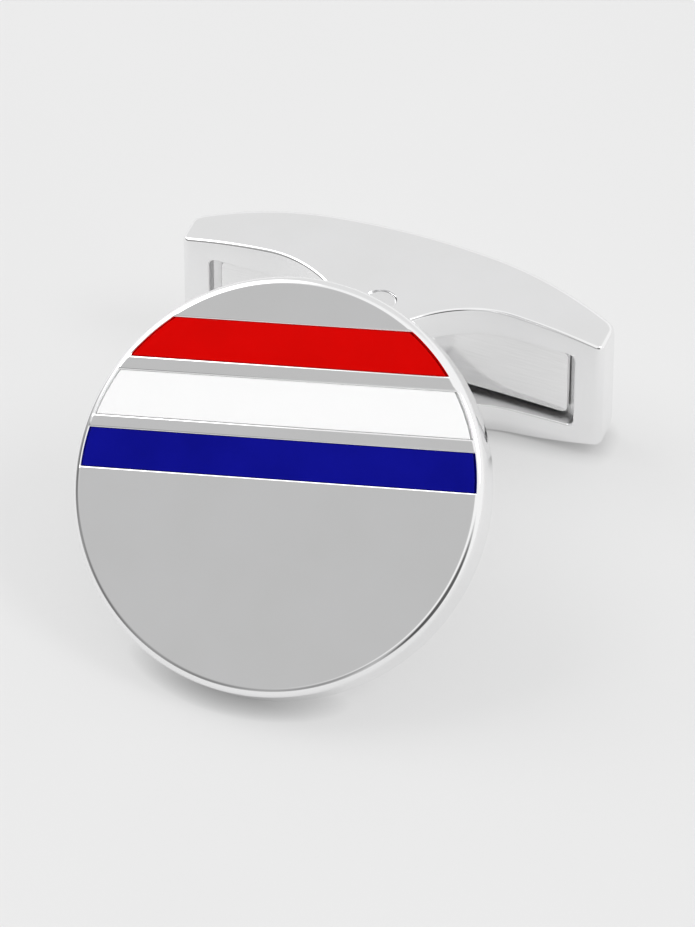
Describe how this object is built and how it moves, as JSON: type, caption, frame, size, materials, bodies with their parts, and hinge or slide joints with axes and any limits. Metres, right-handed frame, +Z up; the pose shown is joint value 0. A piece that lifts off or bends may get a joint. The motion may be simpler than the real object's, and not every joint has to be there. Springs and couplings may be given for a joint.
{
  "type": "cufflink",
  "caption": "Round polished cufflink with striped enamel across the upper face, on a bent arm with a sprung swivel toggle that turns to pass a buttonhole and locks crosswise behind the cuff.",
  "frame": {"origin": "middle of the bounding box, on the table that the cufflink lies on", "axes": "+X along the toggle, +Y from the face back to the toggle, +Z up from the table and along the pivot pin"},
  "size_m": [0.0206, 0.025, 0.0135],
  "materials": {
    "polished_metal": "bright plated and polished",
    "spring_steel": "bright rolled strip",
    "pin_steel": "polished flush",
    "red_enamel": "glossy poured enamel",
    "white_enamel": "glossy poured enamel",
    "blue_enamel": "glossy poured enamel"
  },
  "bodies": {
    "face": {"face_disc": "polished_metal", "enamel_red": "red_enamel", "enamel_white": "white_enamel", "enamel_blue": "blue_enamel", "swivel_arm": "polished_metal"},
    "toggle": {"toggle_frame": "polished_metal", "detent_spring": "spring_steel", "pivot_pin": "pin_steel"}
  },
  "joints": [
    {"name": "toggle_swivel", "type": "hinge", "parent": "face", "child": "toggle", "pos_m": [0, 0.00739, 0.0038], "axis": [0, 0, 1], "range_deg": [-90, 90], "deforming": ["detent_spring"]}
  ]
}
